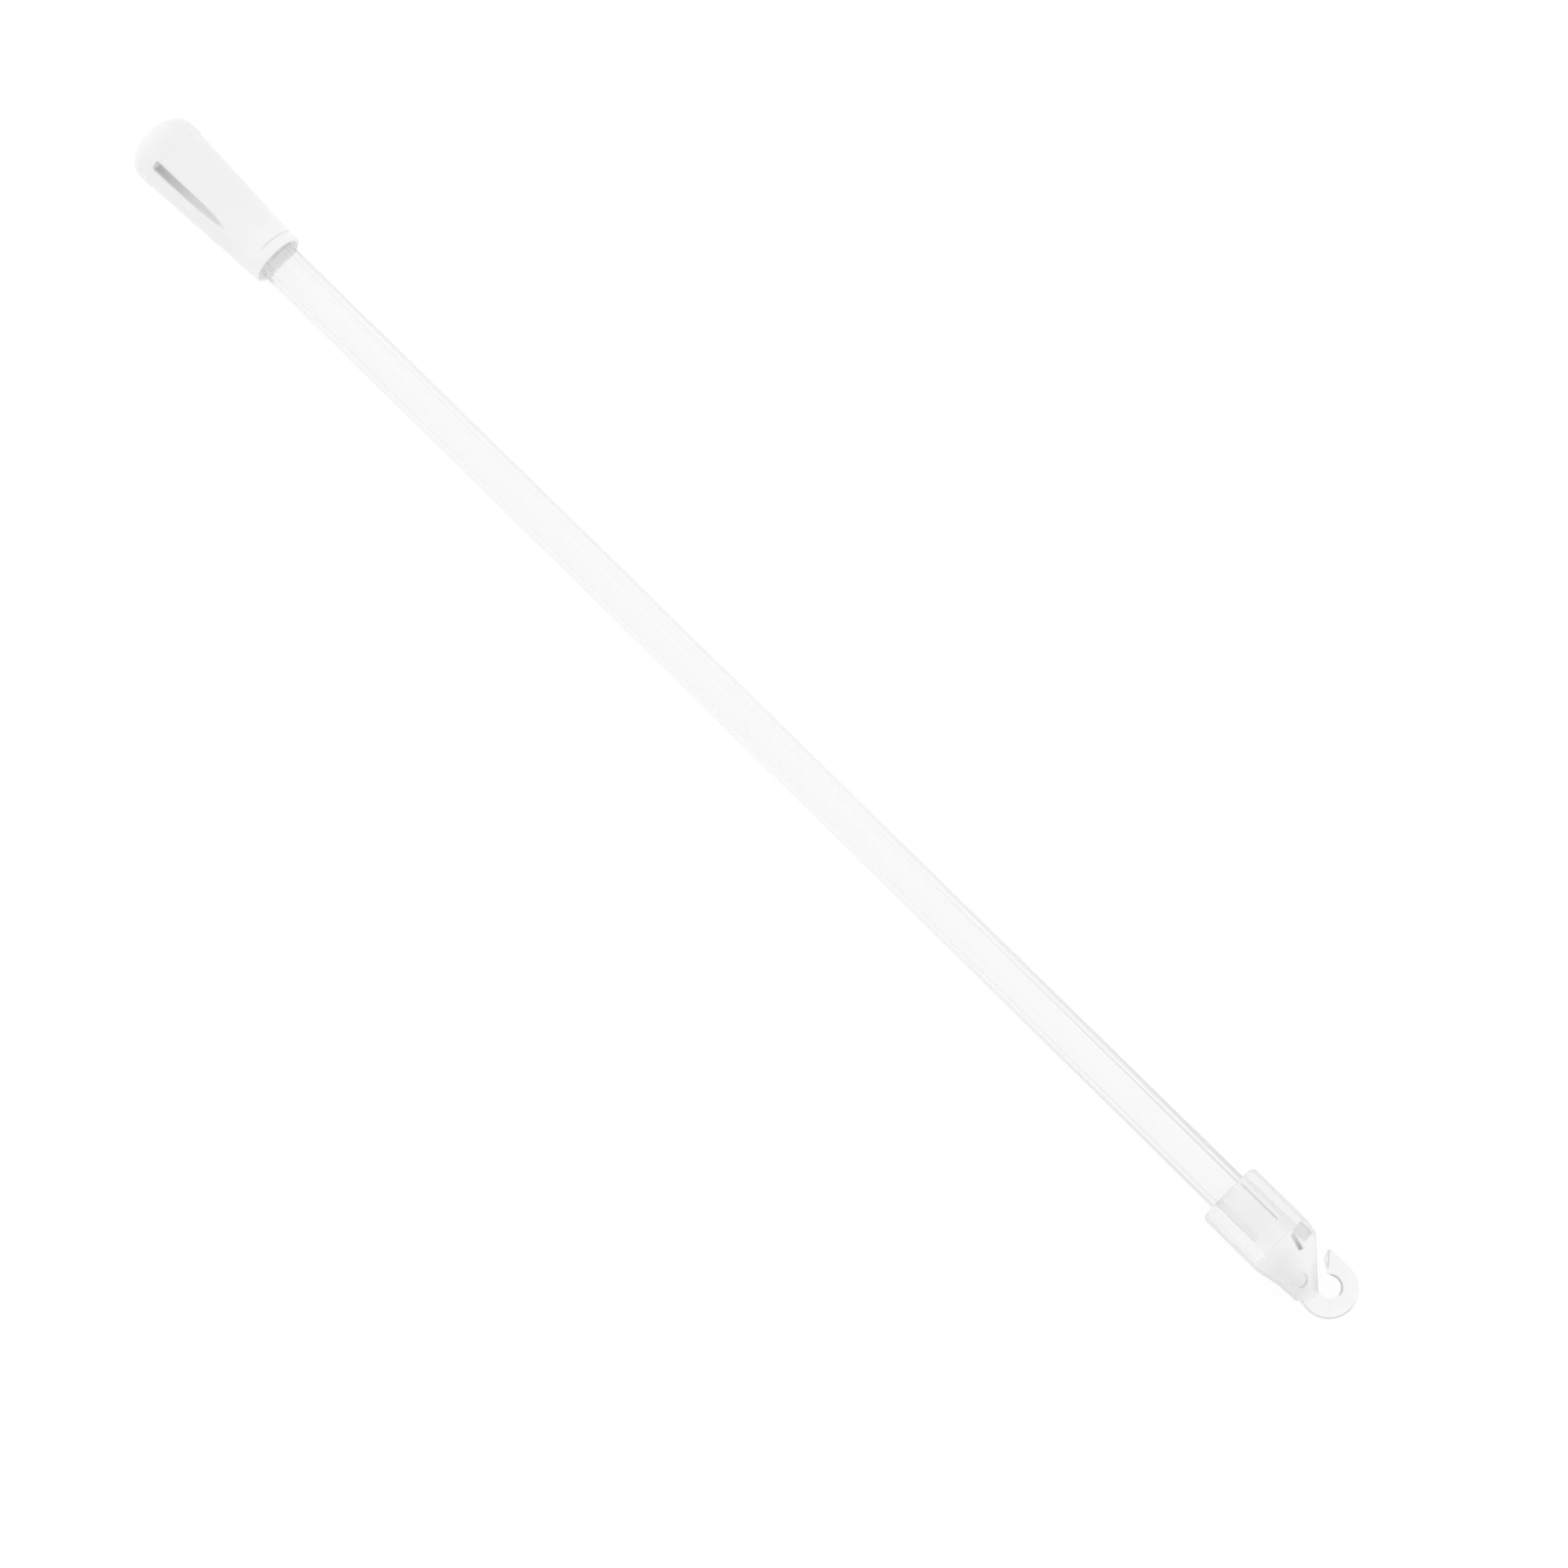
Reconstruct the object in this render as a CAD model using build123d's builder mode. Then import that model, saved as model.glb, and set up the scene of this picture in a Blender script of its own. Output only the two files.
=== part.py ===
from build123d import *
from math import cos, hypot, radians, sin, tan
import os

# A wand for turning and drawing vertical blinds, lying along X with its hook towards +X. Its axis
# lies in the plane of the hook, and the whole wand rests on the handle's end collar at Z = 0.

# Whole wand
wand_length = 300.0

# Rod: a clear six-sided bar, turned a little about its own axis from having a corner at the side
rod_across_flats = 6.7
rod_edge_radius = 0.25
rod_turn = 14.0
socket_clearance = 0.05

# Handle: a tapered grip with a collar that rounds over its end, grip flutes and a thin round mouth
handle_length = 33.0
collar_radius = 6.65
collar_length = 5.8
collar_step = 0.15
collar_round = 3.5
grip_mouth_radius = 5.1
handle_end_wall = 8.0
lead_in_radius = 4.55
lead_in_depth = 2.6
lead_in_cone = 1.0
mouth_rim_break = 0.18
flute_count = 2
flute_turn = 121.0
flute_spacing = 120.0
flute_width = 1.9
flute_depth = 2.3
flute_length = 19.0

# Sleeve: the round end of the hook connector, with the rod held in a blind six-sided socket
sleeve_radius = 6.15
sleeve_length = 13.2
sleeve_mouth_round = 0.8
sleeve_socket_depth = 12.1
rod_in_sleeve = 9.3
socket_mouth_chamfer = 0.8

# Hook: an open eye in a flat plate, seen from the front
hook_outer_radius = 5.15
hook_rise = 0.3
eye_radius = 1.95
eye_shift_back = 0.1
eye_shift_up = 0.3
hook_thickness = 3.4
hook_edge_round = 0.55
tip_reach = 5.1
tip_height = 5.35
tip_round = 0.6
shank_length = 4.5
shank_rise = 0.35

# Throat: the slanted way into the eye, between the root's flank and the underside of the tip.
# Each station is measured along the flank from the eye, and the gap is square to the flank.
flank_angle = 43.5
throat_inner_station = 2.5
throat_inner_gap = 1.5
throat_narrow_station = 4.96
throat_narrow_gap = 1.2
barb_lean = 14.0

# Root: the body between sleeve and hook, in two tapers, cut off by the flank and two sloped cheeks
root_length = 10.6
root_waist_station = 4.0
root_waist_radius = 5.3
root_nose_radius = 5.0
nose_angle = 55.0
nose_past_eye = 1.6
cheek_slope = 28.0
cheek_step = 0.3
flank_round = 1.2

# Window, slit and dimple in the root's front, with heights above the wand's axis
window_start = 0.2
window_length = 2.9
window_top = 5.1
window_back_foot = 3.95
window_front_foot = 2.8
window_floor = 2.7
window_round = 0.35
slit_start = 0.65
slit_length = 3.1
slit_width = 0.8
slit_height = 2.25
slit_turn = -17.0
slit_floor = 1.2
dimple_radius = 1.35
dimple_depth = 0.35
dimple_station = 4.65
dimple_drop = 2.1

# The wand's axis, its ends and the planes that the profiles are drawn on
axis_height = collar_radius
wand_axis = Axis((0, 0, axis_height), (1, 0, 0))
front_plane = Plane(origin=(0, 0, axis_height), x_dir=(1, 0, 0), z_dir=(0, 0, 1))
handle_end = -wand_length / 2
hook_end = wand_length / 2


def cross_plane(x):
    """The plane square to the wand at x, with its own x along +Y and its own y along +Z."""
    return Plane(origin=(x, 0, axis_height), x_dir=(0, 1, 0), z_dir=(1, 0, 0))


# Stations along the handle, and how its grip tapers
handle_mouth = handle_end + handle_length
rod_start = handle_end + handle_end_wall
grip_radius = collar_radius - collar_step
grip_length = handle_length - collar_length
flute_start = handle_end + collar_length
flute_floor = grip_radius - flute_depth
flute_rise = flute_depth - (grip_radius - grip_mouth_radius) * flute_length / grip_length

# Stations along the hook connector
hook_centre = (hook_end - hook_outer_radius, hook_rise)
eye_centre = (hook_centre[0] - eye_shift_back, hook_centre[1] + eye_shift_up)
sleeve_end = hook_centre[0] - root_length
sleeve_mouth = sleeve_end - sleeve_length
socket_end = sleeve_mouth + sleeve_socket_depth
rod_end = sleeve_mouth + rod_in_sleeve

# The flank runs up and back from the point where it touches the eye
flank_along = (-cos(radians(flank_angle)), sin(radians(flank_angle)))
flank_out = (sin(radians(flank_angle)), cos(radians(flank_angle)))
flank_foot = (
    eye_centre[0] - eye_radius * flank_out[0],
    eye_centre[1] - eye_radius * flank_out[1],
)


def from_flank(station, gap):
    """A point in the plane of the hook, from its distance along the flank and out from it."""
    return (
        flank_foot[0] + station * flank_along[0] + gap * flank_out[0],
        flank_foot[1] + station * flank_along[1] + gap * flank_out[1],
    )


# The root's nose is cut square to the way that the cheeks slope down
nose_top = from_flank(-nose_past_eye, 0)
downhill = (sin(radians(nose_angle)), -cos(radians(nose_angle)))
cheek_foot = hook_thickness / 2 + cheek_step


def past_nose(x, y):
    """How far a point in the plane of the hook lies past the nose, downhill."""
    return (x - nose_top[0]) * downhill[0] + (y - nose_top[1]) * downhill[1]


with BuildPart() as wand_rod:
    with BuildSketch(cross_plane(rod_start)):
        bar = RegularPolygon(rod_across_flats / 2, 6, major_radius=False, rotation=rod_turn)
        fillet(bar.vertices(), rod_edge_radius)
    extrude(amount=rod_end - rod_start)
wand_rod.part.label = "wand_rod"


with BuildPart() as handle:
    # Collar and tapered grip, turned about the wand's axis
    with BuildSketch(front_plane):
        with BuildLine():
            Polyline(
                (handle_end, 0),
                (handle_end, collar_radius),
                (flute_start, collar_radius),
                (flute_start, grip_radius),
                (handle_mouth, grip_mouth_radius),
                (handle_mouth, 0),
                close=True,
            )
        make_face()
    revolve(axis=wand_axis)
    end_face = handle.faces().sort_by(Axis.X)[0]
    fillet(end_face.edges(), collar_round)

    # The blind socket that the rod is pressed into
    socket_apothem = rod_across_flats / 2 + socket_clearance
    with BuildSketch(cross_plane(rod_start)):
        RegularPolygon(socket_apothem, 6, major_radius=False, rotation=rod_turn)
    extrude(amount=handle_mouth - rod_start, mode=Mode.SUBTRACT)

    # The round lead-in at the mouth, which leaves a thin rim
    with BuildSketch(front_plane):
        with BuildLine():
            Polyline(
                (handle_mouth - lead_in_depth - lead_in_cone, 0),
                (handle_mouth - lead_in_depth, lead_in_radius),
                (handle_mouth, lead_in_radius),
                (handle_mouth, 0),
                close=True,
            )
        make_face()
    revolve(axis=wand_axis, mode=Mode.SUBTRACT)
    rim = handle.faces().sort_by(Axis.X)[-1]
    chamfer(rim.edges(), mouth_rim_break)

    # Grip flutes with round bottoms for thumb and finger, deepest behind the collar and running out
    # towards the mouth
    for index in range(flute_count):
        angle = radians(flute_turn + index * flute_spacing)
        outward = Vector(0, cos(angle), sin(angle))
        flute_plane = Plane(
            origin=Vector(flute_start, 0, axis_height) + outward * flute_floor,
            x_dir=outward.cross(Vector(1, 0, 0)),
            z_dir=Vector(flute_length, 0, 0) + outward * flute_rise,
        )
        with BuildSketch(flute_plane):
            with Locations((0, flute_width / 2)):
                Circle(flute_width / 2)
            with Locations((0, flute_width / 2 + collar_radius / 2)):
                Rectangle(flute_width, collar_radius)
        extrude(amount=flute_length, mode=Mode.SUBTRACT)
handle.part.label = "handle"


with BuildPart() as hook_plate:
    # The flat hook in outline: round the ring, along the shank inside the root, up the flank, round
    # the eye and back under the pointed tip
    with BuildSketch(front_plane) as hook_outline:
        with BuildLine():
            ring = CenterArc(hook_centre, hook_outer_radius, 90, -180)
            eye = CenterArc(
                eye_centre, eye_radius, 270 - flank_angle, 180 + flank_angle + barb_lean
            )
            Polyline(
                ring @ 1,
                (hook_centre[0] - shank_length, hook_centre[1] - hook_outer_radius + shank_rise),
                from_flank(shank_length / 2, 0),
                eye @ 0,
            )
            Polyline(
                eye @ 1,
                from_flank(throat_inner_station, throat_inner_gap),
                from_flank(throat_narrow_station, throat_narrow_gap),
                (hook_centre[0] - tip_reach, tip_height),
                ring @ 0,
            )
        make_face()
        tip_corner = hook_outline.vertices().sort_by(Axis.X)[0]
        fillet(tip_corner, tip_round)
    extrude(amount=hook_thickness / 2, both=True)

    # The edges round the outside and along the tip are rounded, and those beside the eye are crisp
    flat_faces = hook_plate.faces().filter_by(Axis.Z)
    outer_edges = flat_faces.edges().filter_by(
        lambda edge: hypot(edge.center().X - eye_centre[0], edge.center().Y - eye_centre[1])
        > 1.5 * eye_radius
    )
    fillet(outer_edges, hook_edge_round)


with BuildPart() as hook_connector:
    # Sleeve and root, turned about the wand's axis. The edge at the sleeve's mouth is rounded in
    # three narrow flats.
    mouth_edge = [
        (
            sleeve_mouth + sleeve_mouth_round * (1 - cos(radians(turn))),
            sleeve_radius - sleeve_mouth_round * (1 - sin(radians(turn))),
        )
        for turn in (0, 30, 60, 90)
    ]
    with BuildSketch(front_plane):
        with BuildLine():
            Polyline(
                (sleeve_mouth, 0),
                *mouth_edge,
                (sleeve_end, sleeve_radius),
                (sleeve_end + root_waist_station, root_waist_radius),
                (hook_centre[0], root_nose_radius),
                (hook_centre[0], 0),
                close=True,
            )
        make_face()
    revolve(axis=wand_axis)

    # The flank cuts the root off slantwise above, and the nose ends it below the eye
    clear = 2 * sleeve_radius
    with BuildSketch(front_plane):
        with BuildLine():
            Polyline(
                (sleeve_mouth, -clear),
                (sleeve_mouth, clear),
                from_flank((clear - flank_foot[1]) / flank_along[1], 0),
                nose_top,
                (nose_top[0] - (nose_top[1] + clear) / tan(radians(nose_angle)), -clear),
                close=True,
            )
        make_face()
    extrude(amount=clear, both=True, mode=Mode.INTERSECT)

    # Two cheeks slope down from the sleeve to the flat hook, front and back
    cheek_plane = Plane(
        origin=(*nose_top, axis_height),
        x_dir=(*downhill, 0),
        z_dir=(downhill[1], -downhill[0], 0),
    )
    for side in (1, -1):
        with BuildSketch(cheek_plane):
            with BuildLine():
                Polyline(
                    (0, side * cheek_foot),
                    (-clear / tan(radians(cheek_slope)), side * (cheek_foot + clear)),
                    (0, side * (cheek_foot + clear)),
                    close=True,
                )
            make_face()
        extrude(amount=clear, both=True, mode=Mode.SUBTRACT)

    # Rounded edges along the flank
    flank_normal = Vector(*flank_out, 0)
    flank = hook_connector.faces().sort_by(lambda face: face.normal_at().dot(flank_normal))[-1]
    nose_edges = flank.edges().sort_by(lambda edge: past_nose(edge.center().X, edge.center().Y))
    fillet(nose_edges[:-1], flank_round)
    add(hook_plate.part)

    # The blind six-sided socket, with its mouth opened out
    with BuildSketch(cross_plane(sleeve_mouth)):
        RegularPolygon(socket_apothem, 6, major_radius=False, rotation=rod_turn)
    extrude(amount=sleeve_socket_depth, mode=Mode.SUBTRACT)
    mouth_face = hook_connector.faces().sort_by(Axis.X)[0]
    chamfer(mouth_face.edges().filter_by(GeomType.LINE), socket_mouth_chamfer)

    # A window in the front, just past the end of the socket
    window_back = socket_end + window_start
    with BuildSketch(front_plane.offset(window_floor)) as window_outline:
        with BuildLine():
            Polyline(
                (window_back, window_top),
                (window_back + window_length, window_top),
                (window_back + window_length, window_front_foot),
                (window_back, window_back_foot),
                close=True,
            )
        make_face()
        fillet(window_outline.vertices(), window_round)
    extrude(amount=sleeve_radius, mode=Mode.SUBTRACT)

    # A slanted slit below the window
    with BuildSketch(front_plane.offset(slit_floor)):
        with Locations((socket_end + slit_start + slit_length / 2, slit_height)):
            SlotOverall(slit_length, slit_width, rotation=slit_turn)
    extrude(amount=sleeve_radius, mode=Mode.SUBTRACT)

    # A round dimple sunk square to the front cheek
    slope = radians(cheek_slope)
    dimple_place = (hook_centre[0] - dimple_station, -dimple_drop)
    dimple_height = cheek_foot - past_nose(*dimple_place) * tan(slope)
    dimple_plane = Plane(
        origin=(*dimple_place, axis_height + dimple_height),
        x_dir=(downhill[0] * cos(slope), downhill[1] * cos(slope), -sin(slope)),
        z_dir=(downhill[0] * sin(slope), downhill[1] * sin(slope), cos(slope)),
    )
    with BuildSketch(dimple_plane):
        Circle(dimple_radius)
    extrude(amount=-dimple_depth, mode=Mode.SUBTRACT)
hook_connector.part.label = "hook_connector"


os.makedirs("parts", exist_ok=True)
for piece in (wand_rod.part, handle.part, hook_connector.part):
    export_step(piece, f"parts/{piece.label}.step")
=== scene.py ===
from math import cos, radians, sin

import bpy
from mathutils import Matrix, Vector

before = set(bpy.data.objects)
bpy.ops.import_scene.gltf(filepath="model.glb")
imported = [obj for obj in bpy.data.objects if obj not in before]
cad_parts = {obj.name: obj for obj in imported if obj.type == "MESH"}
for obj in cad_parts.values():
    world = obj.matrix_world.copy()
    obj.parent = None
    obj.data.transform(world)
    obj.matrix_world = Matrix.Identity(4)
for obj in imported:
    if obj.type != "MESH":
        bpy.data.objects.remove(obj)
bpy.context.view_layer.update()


# The rod: a clear six-sided bar, extruded in acrylic and sawn to length. The drawing die leaves faint
# straight lines along it, and handling leaves a slight haze.
axis_height = 0.00665
handle_mouth = -0.117
sleeve_mouth = 0.1212
rod_material = bpy.data.materials.new("clear_rod")
rod_material.use_nodes = True
nodes = rod_material.node_tree.nodes
links = rod_material.node_tree.links
rod_shader = nodes["Principled BSDF"]
rod_shader.inputs["Transmission Weight"].default_value = 1.0
rod_shader.inputs["IOR"].default_value = 1.2
place = nodes.new("ShaderNodeTexCoord").outputs["Object"]


def noise(vector, scale, detail, distortion=0.0):
    cloud = nodes.new("ShaderNodeTexNoise")
    cloud.inputs["Scale"].default_value = scale
    cloud.inputs["Detail"].default_value = detail
    cloud.inputs["Distortion"].default_value = distortion
    links.new(vector, cloud.inputs["Vector"])
    return cloud.outputs["Fac"]


def tint(cloud, darker, lighter):
    """The plastic's own colour, which drifts between two close tones."""
    tones = nodes.new("ShaderNodeValToRGB")
    tones.color_ramp.elements[0].position = 0.3
    tones.color_ramp.elements[0].color = (*darker, 1.0)
    tones.color_ramp.elements[1].position = 0.7
    tones.color_ramp.elements[1].color = (*lighter, 1.0)
    links.new(cloud, tones.inputs["Fac"])
    return tones.outputs["Color"]


def bump(cloud, strength, distance, shader):
    relief = nodes.new("ShaderNodeBump")
    relief.inputs["Strength"].default_value = strength
    relief.inputs["Distance"].default_value = distance
    links.new(cloud, relief.inputs["Height"])
    links.new(relief.outputs["Normal"], shader.inputs["Normal"])


# Die lines: noise drawn out along the rod, in the colour and in the bump
die_stretch = nodes.new("ShaderNodeMapping")
die_stretch.inputs["Scale"].default_value = (3.0, 900.0, 900.0)
links.new(place, die_stretch.inputs["Vector"])
die_lines = noise(die_stretch.outputs["Vector"], 1.0, 3.0)
rod_tint = tint(die_lines, (0.925, 0.927, 0.927), (0.955, 0.957, 0.957))
bump(die_lines, 0.12, 0.00004, rod_shader)


def fade(value, start, end, low=0.0, high=1.0):
    """Goes from low to high while the value goes from start to end, and stays there."""
    change = nodes.new("ShaderNodeMapRange")
    change.inputs["From Min"].default_value = start
    change.inputs["From Max"].default_value = end
    change.inputs["To Min"].default_value = low
    change.inputs["To Max"].default_value = high
    links.new(value, change.inputs["Value"])
    return change.outputs["Result"]


# Haze: patches that are a little less polished
rod_haze = noise(place, 160.0, 4.0)
links.new(fade(rod_haze, 0.0, 1.0, 0.01, 0.06), rod_shader.inputs["Roughness"])


def put(value, socket):
    """An input takes another node's output, or a plain number or colour."""
    if isinstance(value, bpy.types.NodeSocket):
        links.new(value, socket)
    else:
        socket.default_value = value


def worked_out(operation, first, second=None):
    """One step of arithmetic with a place or a share."""
    step = nodes.new("ShaderNodeMath")
    step.operation = operation
    put(first, step.inputs[0])
    if second is not None:
        put(second, step.inputs[1])
    return step.outputs["Value"]


def all_of(first, *others):
    """The share of the surface where every one of the given shares is high."""
    share = first
    for other in others:
        share = worked_out("MULTIPLY", share, other)
    return share


def any_of(first, *others):
    """The share of the surface where at least one of the given shares is high."""
    share = first
    for other in others:
        share = worked_out("MAXIMUM", share, other)
    return share


def line_at(value, middle, soft_edge, full_edge):
    """A line where the value is near its middle, full inside one distance and gone past the other."""
    off_line = worked_out("ABSOLUTE", worked_out("SUBTRACT", value, middle))
    return fade(off_line, soft_edge, full_edge)


def split(vector):
    parts = nodes.new("ShaderNodeSeparateXYZ")
    links.new(vector, parts.inputs["Vector"])
    return parts.outputs["X"], parts.outputs["Y"], parts.outputs["Z"]


def distance_of(first, second):
    """The distance that two offsets square to each other make."""
    offset = nodes.new("ShaderNodeCombineXYZ")
    links.new(first, offset.inputs["X"])
    links.new(second, offset.inputs["Y"])
    distance = nodes.new("ShaderNodeVectorMath")
    distance.operation = "LENGTH"
    links.new(offset.outputs["Vector"], distance.inputs[0])
    return distance.outputs["Value"]


# Painted shade: the corners at the two sides are painted as fine dark lines, standing in for the dark
# lines that refraction draws there. The side away from the hook's tip is fainter, but for the rod's
# very edge, and it is the only one that still shows inside the sleeve.
along, across, height = split(place)
radius = distance_of(across, worked_out("SUBTRACT", height, axis_height))
corner = fade(radius, 0.00364, 0.00382)
at_side = any_of(fade(across, 0.0014, 0.0022), fade(across, -0.0014, -0.0022, high=0.45))
outside_sleeve = worked_out("LESS_THAN", along, sleeve_mouth)
shows = any_of(outside_sleeve, worked_out("LESS_THAN", across, -0.0032))
back_edge = fade(across, -0.0030, -0.0034, high=0.8)

# Painted shade: one more fine dark line is painted along the upper face
on_top = worked_out("GREATER_THAN", height, axis_height)
painted_top_line = all_of(line_at(across, 0.00245, 0.0002, 0.00008), on_top)


def grey(tone):
    return (tone, tone, tone, 1.0)


def mixed(share, first, second, how="MIX"):
    """Two colours, with the second one where the share is high."""
    mix = nodes.new("ShaderNodeMix")
    mix.data_type = "RGBA"
    mix.blend_type = how
    put(share, mix.inputs["Factor"])
    put(first, mix.inputs["A"])
    put(second, mix.inputs["B"])
    return mix.outputs["Result"]


# All of these painted lines are plainest near the sleeve and faintest at the middle of the rod
plainness = nodes.new("ShaderNodeValToRGB")
plainness.color_ramp.elements[0].color = grey(0.3)
plainness.color_ramp.elements[1].color = grey(1.0)
for halfway in (0.45, 0.62):
    plainness.color_ramp.elements.new(halfway).color = grey(0.1)
links.new(fade(along, handle_mouth, 0.115), plainness.inputs["Fac"])
lines = any_of(all_of(corner, at_side, shows), back_edge, painted_top_line)
dark_line = all_of(lines, plainness.outputs["Color"])
# Painted light: inside the sleeve the rod is painted near white, which lightens it where it is seen
# through the sleeve
rod_colour = mixed(dark_line, mixed(outside_sleeve, grey(0.99), rod_tint), grey(0.55))
links.new(rod_colour, rod_shader.inputs["Base Color"])


def let_light_out(through, thin_wall=None):
    """Lamp light passes the clear plastic, so that its shadow is as pale as the real one's, and light
    that is still caught between its faces after two bounces comes out again. Soft light passes a thin
    wall too."""
    output = nodes["Material Output"]
    surface = output.inputs["Surface"].links[0].from_socket
    path = nodes.new("ShaderNodeLightPath")
    caught = worked_out("GREATER_THAN", path.outputs["Glossy Depth"], 2.5)
    let_out = any_of(path.outputs["Is Shadow Ray"], caught)
    if thin_wall is not None:
        let_out = any_of(let_out, all_of(path.outputs["Is Diffuse Ray"], thin_wall))
    see_through = nodes.new("ShaderNodeBsdfTransparent")
    see_through.inputs["Color"].default_value = (*through, 1.0)
    mix = nodes.new("ShaderNodeMixShader")
    links.new(let_out, mix.inputs["Fac"])
    links.new(surface, mix.inputs[1])
    links.new(see_through.outputs["BSDF"], mix.inputs[2])
    links.new(mix.outputs["Shader"], output.inputs["Surface"])


def dress(node, material):
    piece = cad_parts[node]
    piece.data.materials.clear()
    piece.data.materials.append(material)


let_light_out((0.95, 0.955, 0.955))
dress("wand_rod", rod_material)


# The hook connector: one clear injection moulding, pressed on the rod's end. Moulding leaves soft
# flow marks in it, and its faces are a shade less clear than the rod.
eye_centre = (0.14475, 0.0006)
past_socket_end = 0.13325
moulding_material = bpy.data.materials.new("clear_moulding")
moulding_material.use_nodes = True
nodes = moulding_material.node_tree.nodes
links = moulding_material.node_tree.links
moulding_shader = nodes["Principled BSDF"]
moulding_shader.inputs["Transmission Weight"].default_value = 1.0
moulding_shader.inputs["IOR"].default_value = 1.2
place = nodes.new("ShaderNodeTexCoord").outputs["Object"]
flow_marks = noise(place, 260.0, 2.0, 0.6)
moulding_tint = tint(flow_marks, (0.905, 0.907, 0.907), (0.94, 0.942, 0.942))
bump(flow_marks, 0.15, 0.0001, moulding_shader)
links.new(fade(flow_marks, 0.0, 1.0, 0.06, 0.16), moulding_shader.inputs["Roughness"])

# Painted light: the socket's walls are painted near white, which lightens the rod and the socket's
# empty end seen through them
along, across, height = split(place)
radius = distance_of(across, worked_out("SUBTRACT", height, axis_height))
in_bore = worked_out("LESS_THAN", radius, 0.0045)
in_sleeve = worked_out("LESS_THAN", along, past_socket_end)
moulding_colour = mixed(all_of(in_bore, in_sleeve), moulding_tint, grey(0.99))

# Painted shade: where a face turns away it is painted darker, standing in for the dark edges that
# refraction draws in clear plastic
turned_away = nodes.new("ShaderNodeLayerWeight")
turned_away.inputs["Blend"].default_value = 0.5
painted_edge_shade = nodes.new("ShaderNodeValToRGB")
painted_edge_shade.color_ramp.elements[0].position = 0.5
painted_edge_shade.color_ramp.elements[0].color = grey(1.0)
painted_edge_shade.color_ramp.elements[1].position = 1.0
painted_edge_shade.color_ramp.elements[1].color = grey(0.5)
links.new(turned_away.outputs["Facing"], painted_edge_shade.inputs["Fac"])


def seen_from(centre, turn):
    """The surface's place as measured from a centre, along and across a line that is turned flat."""
    flat = nodes.new("ShaderNodeMapping")
    flat.vector_type = "TEXTURE"
    flat.inputs["Location"].default_value = (*centre, 0.0)
    flat.inputs["Rotation"].default_value = (0.0, 0.0, radians(turn))
    links.new(place, flat.inputs["Vector"])
    return split(flat.outputs["Vector"])


def painted_shade_patch(centre, turn, half_length, half_width, softness, floor, tones):
    """A patch of painted shade, turned flat, on what stands higher than its floor. Its tone changes
    along it.
    """
    out, aside, level = seen_from(centre, turn)
    ends = fade(worked_out("ABSOLUTE", out), half_length + softness, half_length - softness)
    sides = fade(worked_out("ABSOLUTE", aside), half_width + softness, half_width - softness)
    above = fade(level, floor - 0.0002, floor - 0.0001)
    return mixed(all_of(ends, sides, above), grey(1.0), fade(out, -half_length, half_length, *tones))


def painted_shade_ring(centre, turn, ring, half_width, starts, full, floor=0.0):
    """A line of painted shade round a centre, on the side that the turn names, on what stands above
    its floor.
    """
    out, aside, level = seen_from(centre, turn)
    line = line_at(distance_of(out, aside), ring, half_width, 0.4 * half_width)
    above = worked_out("GREATER_THAN", level, floor)
    return mixed(all_of(line, fade(out, starts, full), above), grey(1.0), grey(0.6))


for shade in (
    painted_edge_shade.outputs["Color"],
    # Painted shade on the window's floor, and on the slit's, which gets darker towards the hook
    painted_shade_patch((0.13485, 0.0042), 0, 0.00145, 0.00115, 0.00015, 0.00935, (0.68, 0.66)),
    painted_shade_patch((0.1354, 0.00225), -17, 0.00155, 0.0004, 0.00015, 0.00785, (0.58, 0.14)),
    # Painted shade: the band along the throat's flank, the root's lower side, and the edge of the
    # hook's tip
    painted_shade_patch((0.1419, 0.0002), -42, 0.0024, 0.0006, 0.0003, 0.0, (0.88, 0.78)),
    painted_shade_patch((0.1385, -0.0036), 0, 0.0042, 0.0026, 0.0016, 0.0, (0.9, 0.86)),
    painted_shade_patch((0.14115, 0.0041), -49, 0.0018, 0.0001, 0.00015, 0.0, (0.7, 0.7)),
    # Painted shade lines round the eye, the hook's outer edge and the dimple
    painted_shade_ring(eye_centre, 90, 0.0021, 0.0003, -0.0002, 0.0008),
    painted_shade_ring((0.14485, 0.0003), -50, 0.00505, 0.0003, 0.002, 0.0035),
    painted_shade_ring((0.1402, -0.0021), 25, 0.0013, 0.0002, 0.0, 0.0008, axis_height),
):
    moulding_colour = mixed(1.0, moulding_colour, shade, "MULTIPLY")
links.new(moulding_colour, moulding_shader.inputs["Base Color"])
let_light_out((0.93, 0.935, 0.935))
dress("hook_connector", moulding_material)


# The handle: one milky, satin moulding, pressed on the rod so that it hides the rod's end. Light goes
# into it and comes out softened all round, so that only its flutes and its mouth look dark.
collar_back = -0.1442
grip_material = bpy.data.materials.new("translucent_grip")
grip_material.use_nodes = True
nodes = grip_material.node_tree.nodes
links = grip_material.node_tree.links
grip_shader = nodes["Principled BSDF"]
grip_shader.inputs["Subsurface Weight"].default_value = 0.9
grip_shader.inputs["Subsurface Radius"].default_value = (1.0, 1.0, 1.0)
grip_shader.inputs["Subsurface Scale"].default_value = 0.0012
grip_shader.inputs["Transmission Weight"].default_value = 0.08
grip_shader.inputs["IOR"].default_value = 1.49
place = nodes.new("ShaderNodeTexCoord").outputs["Object"]
milk = noise(place, 180.0, 3.0)
grip_tint = tint(milk, (0.965, 0.967, 0.967), (0.985, 0.987, 0.987))
links.new(fade(milk, 0.0, 1.0, 0.3, 0.45), grip_shader.inputs["Roughness"])
bump(noise(place, 2600.0, 2.0), 0.12, 0.00005, grip_shader)
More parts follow.
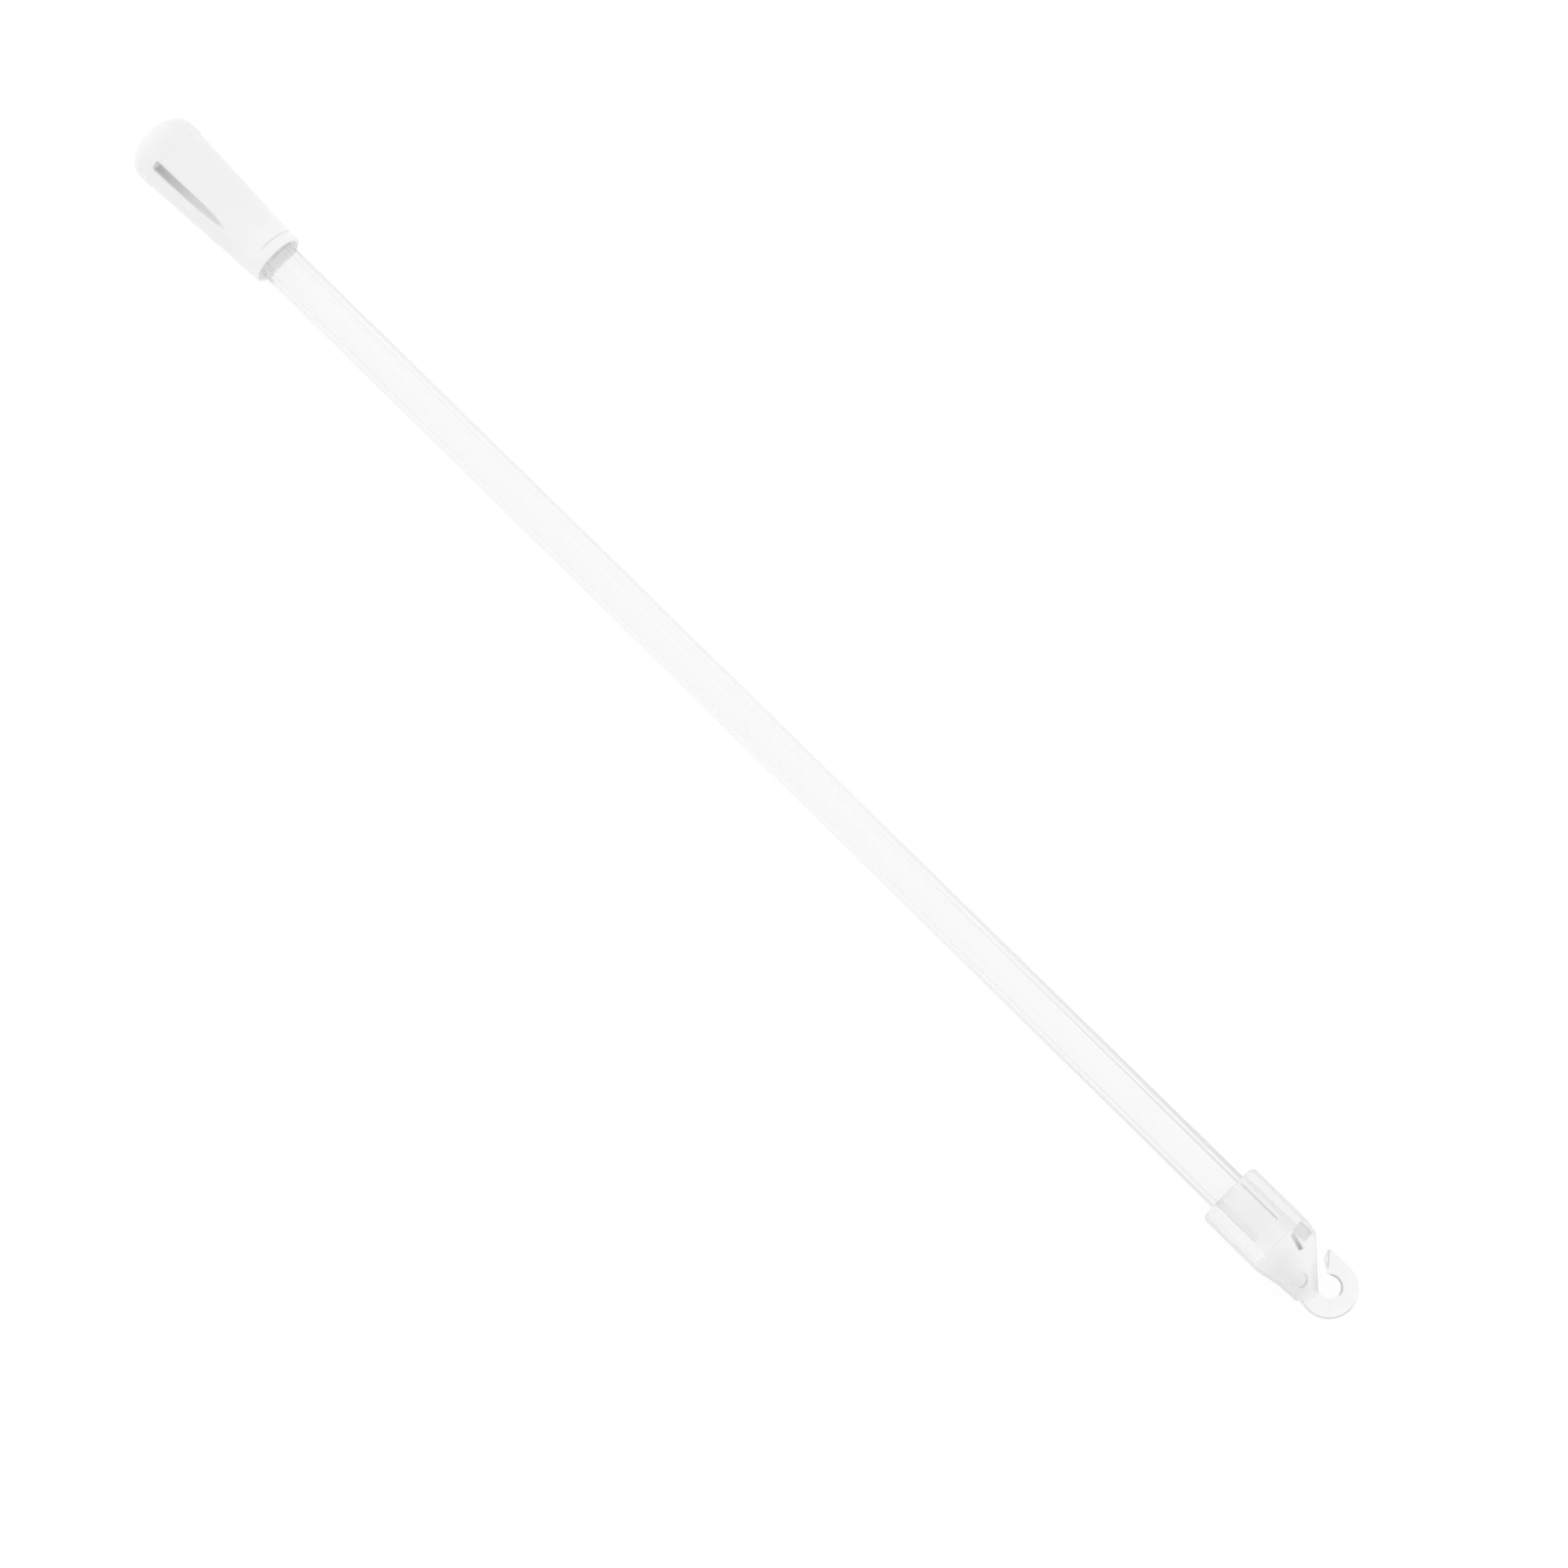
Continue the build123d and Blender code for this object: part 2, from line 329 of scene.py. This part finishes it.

# Painted shade: the flutes are painted greyer with their depth below the grip's tapered surface
along, across, height = split(place)
radius = distance_of(across, worked_out("SUBTRACT", height, axis_height))
grip_surface = fade(along, collar_back, handle_mouth, 0.0065, 0.0051)
deep = fade(worked_out("SUBTRACT", grip_surface, radius), 0.0001, 0.0004)
outside_socket = fade(radius, 0.0039, 0.0041)
behind_mouth = fade(along, -0.1208, -0.1228)
past_collar = fade(along, collar_back - 0.0001, collar_back + 0.0001)
in_flute = all_of(deep, outside_socket, behind_mouth, past_collar)
grip_colour = mixed(in_flute, grip_tint, fade(along, -0.1435, -0.1335, 0.67, 0.76))

# Painted shade: a fine dark line is painted where the end of the socket's lead-in shows through the
# wall
upper_side = fade(across, -0.0015, 0.0005)
painted_ledge_line = all_of(line_at(along, -0.1191, 0.00022, 0.0001), upper_side)
links.new(mixed(painted_ledge_line, grip_colour, grey(0.76)), grip_shader.inputs["Base Color"])

# Soft light passes the thin wall round the mouth
thin_wall = fade(along, -0.1215, -0.1205)
let_light_out((0.97, 0.97, 0.97), thin_wall)
dress("handle", grip_material)


# The table: a plain white floor that shows as pure white and keeps a pale shadow of the wand. Its
# white is its own where it is looked at, and plain white paint for the light that it sends back.
table_size = 6.0
shadow_share = 0.25
bpy.ops.mesh.primitive_plane_add(size=table_size, location=(0, 0, 0))
table = bpy.context.active_object
table.name = "table"
table_material = bpy.data.materials.new("table")
table_material.use_nodes = True
nodes = table_material.node_tree.nodes
links = table_material.node_tree.links
nodes.remove(nodes["Principled BSDF"])
lit = nodes.new("ShaderNodeBsdfDiffuse")
lit.inputs["Color"].default_value = grey(shadow_share)
glow = nodes.new("ShaderNodeEmission")
glow.inputs["Strength"].default_value = 1.03 - shadow_share
seen = nodes.new("ShaderNodeAddShader")
links.new(lit.outputs["BSDF"], seen.inputs[0])
links.new(glow.outputs["Emission"], seen.inputs[1])
plain = nodes.new("ShaderNodeBsdfDiffuse")
plain.inputs["Color"].default_value = grey(0.92)
path = nodes.new("ShaderNodeLightPath").outputs
looked_at = any_of(path["Is Camera Ray"], path["Is Glossy Ray"], path["Is Transmission Ray"])
table_mix = nodes.new("ShaderNodeMixShader")
links.new(looked_at, table_mix.inputs["Fac"])
links.new(plain.outputs["BSDF"], table_mix.inputs[1])
links.new(seen.outputs["Shader"], table_mix.inputs[2])
links.new(table_mix.outputs["Shader"], nodes["Material Output"].inputs["Surface"])
table.data.materials.append(table_material)


# The room: soft pale light from all round. It is pure white where the camera looks past the table,
# and a shade greyer in what the clear plastic mirrors and bends, which draws the plastic's edges.
room = bpy.data.worlds.new("room")
bpy.context.scene.world = room
room.use_nodes = True
nodes = room.node_tree.nodes
links = room.node_tree.links
path = nodes.new("ShaderNodeLightPath").outputs
direction = nodes.new("ShaderNodeTexCoord").outputs["Generated"]
room_tone = nodes.new("ShaderNodeValToRGB")
room_tone.color_ramp.elements[0].position = 0.0
room_tone.color_ramp.elements[0].color = grey(0.9)
room_tone.color_ramp.elements[1].position = 0.6
room_tone.color_ramp.elements[1].color = grey(0.92)
links.new(split(direction)[2], room_tone.inputs["Fac"])
mirrored = nodes["Background"]
mirrored.inputs["Strength"].default_value = 1.0
links.new(room_tone.outputs["Color"], mirrored.inputs["Color"])
soft_light = nodes.new("ShaderNodeBackground")
soft_light.inputs["Color"].default_value = grey(1.0)
soft_light.inputs["Strength"].default_value = 0.88
backdrop = nodes.new("ShaderNodeBackground")
backdrop.inputs["Color"].default_value = grey(1.0)
backdrop.inputs["Strength"].default_value = 1.0
in_plastic = nodes.new("ShaderNodeMixShader")
links.new(any_of(path["Is Glossy Ray"], path["Is Transmission Ray"]), in_plastic.inputs["Fac"])
links.new(soft_light.outputs["Background"], in_plastic.inputs[1])
links.new(mirrored.outputs["Background"], in_plastic.inputs[2])
past_table = nodes.new("ShaderNodeMixShader")
links.new(path["Is Camera Ray"], past_table.inputs["Fac"])
links.new(in_plastic.outputs["Shader"], past_table.inputs[1])
links.new(backdrop.outputs["Background"], past_table.inputs[2])
links.new(past_table.outputs["Shader"], nodes["World Output"].inputs["Surface"])

# Two wide soft lamps: one above the hook's open side, and one low past the handle. Neither is seen in
# the plastic.
for name, spot, size, power in (
    ("main_lamp", (0.1, 0.75, 0.75), 1.0, 1.5),
    ("fill_lamp", (-1.0, -0.45, 0.3), 0.8, 2.0),
):
    lamp_data = bpy.data.lights.new(name, "AREA")
    lamp_data.size = size
    lamp_data.energy = power
    lamp = bpy.data.objects.new(name, lamp_data)
    lamp.visible_transmission = False
    lamp.visible_glossy = False
    lamp.location = spot
    lamp.rotation_euler = (-Vector(spot)).to_track_quat("-Z", "Y").to_euler()
    bpy.context.collection.objects.link(lamp)


# The camera looks down on the wand, square to the hook and a little slantwise on the handle, with
# the wand running from the upper left to the lower right.
camera_tilt = radians(9)
camera_roll = radians(44.5)
camera_distance = 0.85
camera_aim = Vector((0.01573, -0.003405, axis_height))
sideways = Vector((cos(camera_tilt), 0, -sin(camera_tilt)))
crossways = Vector((0, 1, 0))
back = Vector((sin(camera_tilt), 0, cos(camera_tilt)))
right = cos(camera_roll) * sideways + sin(camera_roll) * crossways
up = -sin(camera_roll) * sideways + cos(camera_roll) * crossways
camera_data = bpy.data.cameras.new("camera")
camera_data.lens = 110.92
camera = bpy.data.objects.new("camera", camera_data)
bpy.context.collection.objects.link(camera)
turned = Matrix((right, up, back)).transposed().to_4x4()
camera.matrix_world = Matrix.Translation(camera_aim + camera_distance * back) @ turned
bpy.context.scene.camera = camera
bpy.context.scene.view_settings.view_transform = "Standard"
